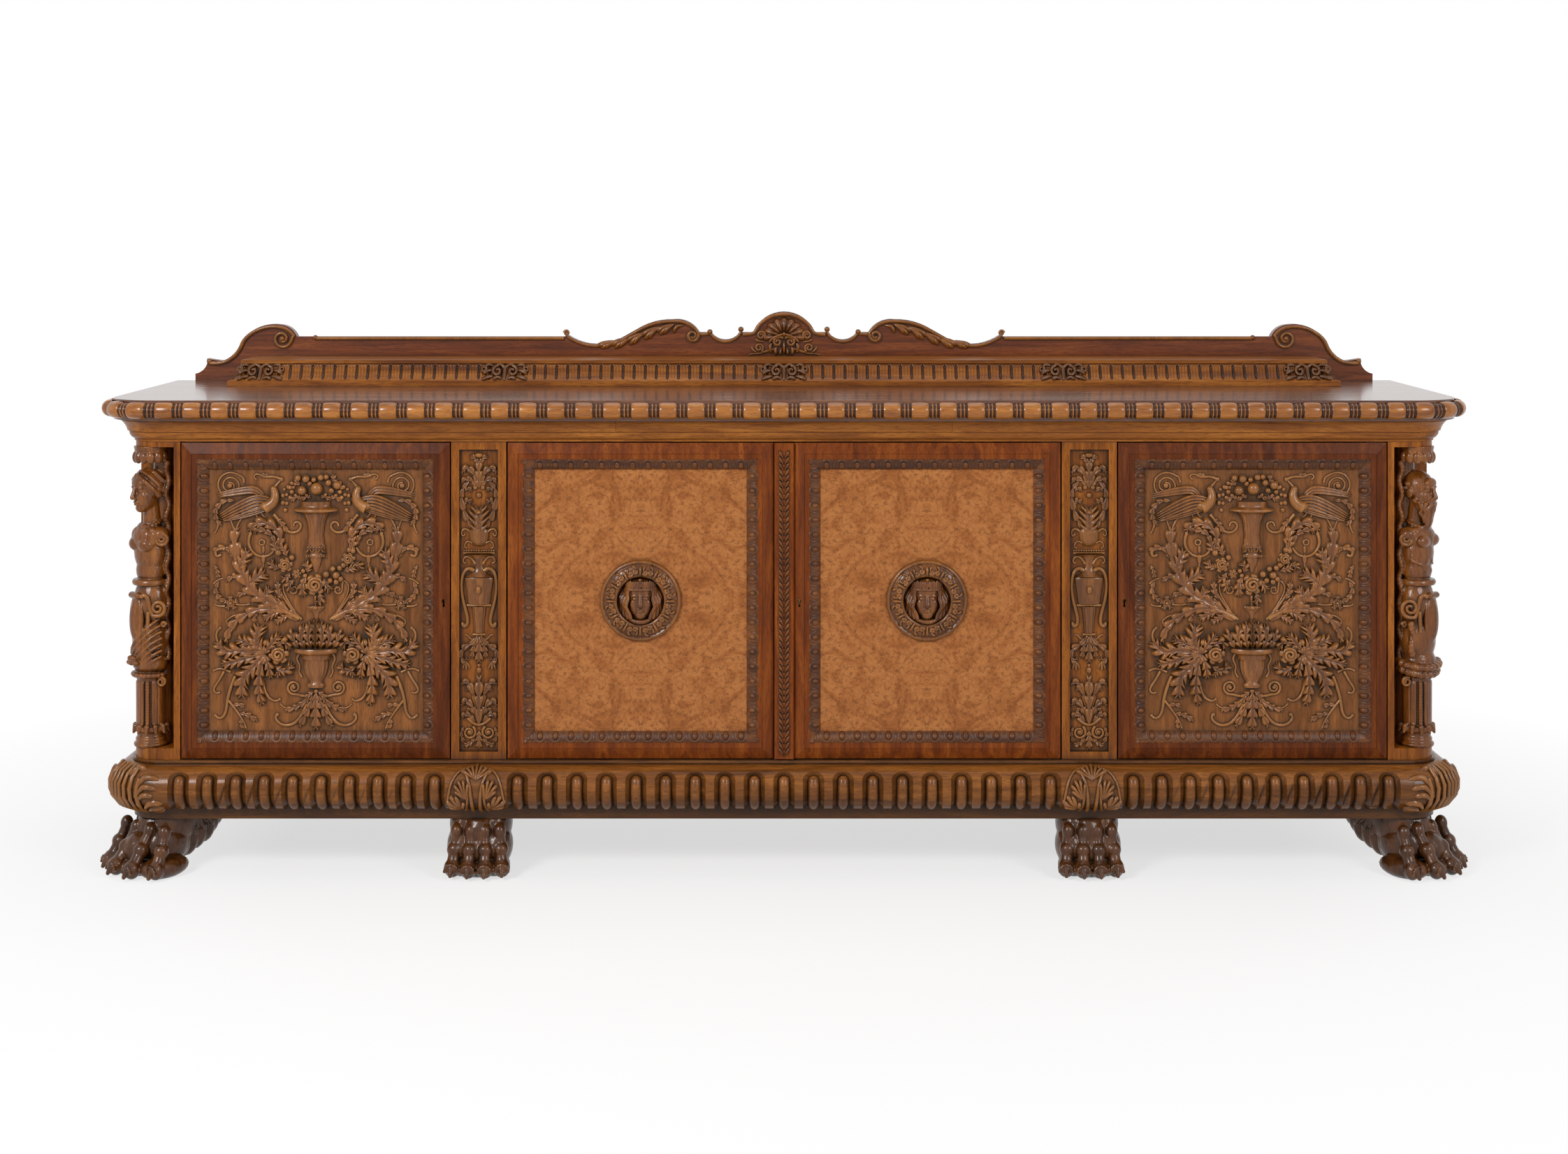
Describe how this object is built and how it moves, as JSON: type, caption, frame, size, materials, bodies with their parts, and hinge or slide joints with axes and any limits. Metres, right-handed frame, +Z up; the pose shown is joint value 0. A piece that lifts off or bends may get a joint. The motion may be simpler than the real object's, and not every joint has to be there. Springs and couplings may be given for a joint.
{
  "type": "sideboard",
  "caption": "Long carved walnut sideboard with herm corners, panelled doors on pivots, gadrooned base on lion-paw feet, knulled top edge and scrolled back gallery.",
  "frame": {"origin": "on the floor under the middle of the whole piece", "axes": "+X to the viewer's right along the front, +Y to the back, +Z up"},
  "size_m": [2.876, 0.64, 1.155],
  "materials": {
    "polished_walnut": "french-polished walnut",
    "carved_walnut": "waxed carved walnut with dark wax in the recesses",
    "burr_walnut": "polished burr walnut veneer",
    "inner_wood": "plain waxed wood inside",
    "brass": "aged brass",
    "steel": "filed steel"
  },
  "bodies": {
    "carcass": {"left_inner_paw": "carved_walnut", "right_inner_paw": "carved_walnut", "left_corner_paw": "carved_walnut", "right_corner_paw": "carved_walnut", "rear_feet": "inner_wood", "base_frame": "inner_wood", "bottom_board": "inner_wood", "sub_top": "inner_wood", "hinge_pins": "brass", "base_moulding": "carved_walnut", "base_corners": "carved_walnut", "side_panels": "polished_walnut", "partitions": "inner_wood", "back_panel": "inner_wood", "left_pilaster": "carved_walnut", "right_pilaster": "carved_walnut", "left_corner_post": "carved_walnut", "right_corner_post": "carved_walnut", "left_herm": "carved_walnut", "right_herm": "carved_walnut", "bed_moulding": "polished_walnut", "frieze_cove": "polished_walnut", "top_frame": "inner_wood", "top_board": "polished_walnut", "top_edge_moulding": "carved_walnut", "backboard": "carved_walnut", "crest_rim": "carved_walnut", "crest_shell": "carved_walnut", "gallery_boards": "polished_walnut", "gallery_cove": "carved_walnut", "shelves": "inner_wood", "shelf_cleats": "inner_wood"},
    "serving_slide": {"slide_board": "inner_wood", "slide_front": "polished_walnut"},
    "left_door": {"left_door_frame": "polished_walnut", "left_door_moulding": "carved_walnut", "left_door_panel": "carved_walnut", "left_door_pivots": "brass", "left_door_lock_case": "brass"},
    "left_lock_bolt": {"left_door_lock_bolt": "steel"},
    "right_door": {"right_door_frame": "polished_walnut", "right_door_moulding": "carved_walnut", "right_door_panel": "carved_walnut", "right_door_pivots": "brass", "right_door_lock_case": "brass"},
    "right_lock_bolt": {"right_door_lock_bolt": "steel"},
    "centre_left_door": {"centre_left_door_frame": "polished_walnut", "centre_left_door_moulding": "carved_walnut", "centre_left_door_panel": "burr_walnut", "centre_left_door_medallion": "carved_walnut", "centre_left_door_pivots": "brass"},
    "centre_right_door": {"centre_right_door_frame": "polished_walnut", "centre_right_door_moulding": "carved_walnut", "centre_right_door_panel": "burr_walnut", "centre_right_door_medallion": "carved_walnut", "centre_right_door_pivots": "brass", "centre_right_door_astragal": "carved_walnut", "centre_right_door_lock_case": "brass"},
    "centre_lock_bolt": {"centre_right_door_lock_bolt": "steel"}
  },
  "joints": [
    {"name": "left_door_swing", "type": "hinge", "parent": "carcass", "child": "left_door", "pos_m": [-1.236, -0.241, 0.243], "axis": [0, 0, -1], "range_deg": [0, 105]},
    {"name": "centre_left_door_swing", "type": "hinge", "parent": "carcass", "child": "centre_left_door", "pos_m": [-0.555, -0.241, 0.243], "axis": [0, 0, -1], "range_deg": [0, 105]},
    {"name": "centre_right_door_swing", "type": "hinge", "parent": "carcass", "child": "centre_right_door", "pos_m": [0.555, -0.241, 0.243], "axis": [0, 0, 1], "range_deg": [0, 105]},
    {"name": "right_door_swing", "type": "hinge", "parent": "carcass", "child": "right_door", "pos_m": [1.236, -0.241, 0.243], "axis": [0, 0, 1], "range_deg": [0, 105]},
    {"name": "serving_slide_pull", "type": "slide", "parent": "carcass", "child": "serving_slide", "axis": [0, -1, 0], "range_m": [0, 0.34]},
    {"name": "left_lock_throw", "type": "slide", "parent": "left_door", "child": "left_lock_bolt", "axis": [1, 0, 0], "range_m": [0, 0.009]},
    {"name": "right_lock_throw", "type": "slide", "parent": "right_door", "child": "right_lock_bolt", "axis": [-1, 0, 0], "range_m": [0, 0.009]},
    {"name": "centre_lock_throw", "type": "slide", "parent": "centre_right_door", "child": "centre_lock_bolt", "axis": [-1, 0, 0], "range_m": [0, 0.009]}
  ]
}
